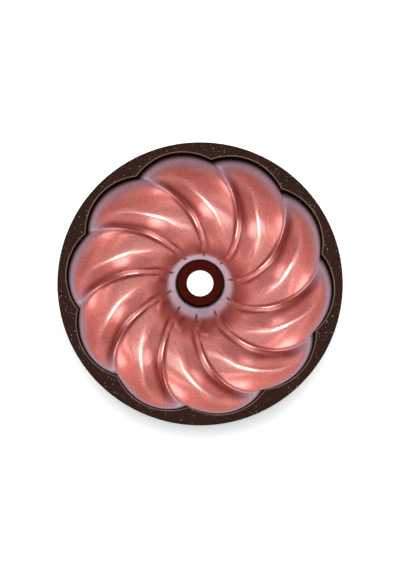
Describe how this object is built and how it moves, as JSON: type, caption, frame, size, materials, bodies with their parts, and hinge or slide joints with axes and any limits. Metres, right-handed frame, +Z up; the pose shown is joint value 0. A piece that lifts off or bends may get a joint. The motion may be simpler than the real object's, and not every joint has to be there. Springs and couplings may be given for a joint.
{
  "type": "ring cake mould",
  "caption": "Round one-piece cast ring cake mould with a flat flange, scalloped lip, swirled flutes and an open centre tube.",
  "frame": {"origin": "on the mould's axis, in the plane of the flat lands that it stands on", "axes": "+Z up along the mould's axis, out of its open side; +Y lies 5 degrees from one cusp of the scalloped lip"},
  "size_m": [0.26, 0.26, 0.082],
  "materials": {
    "coated_casting": "dark brown speckled non-stick coat on the casting, copper metallic non-stick coat inside the flutes"
  },
  "bodies": {
    "root": {"mould_body": "coated_casting"}
  },
  "joints": []
}
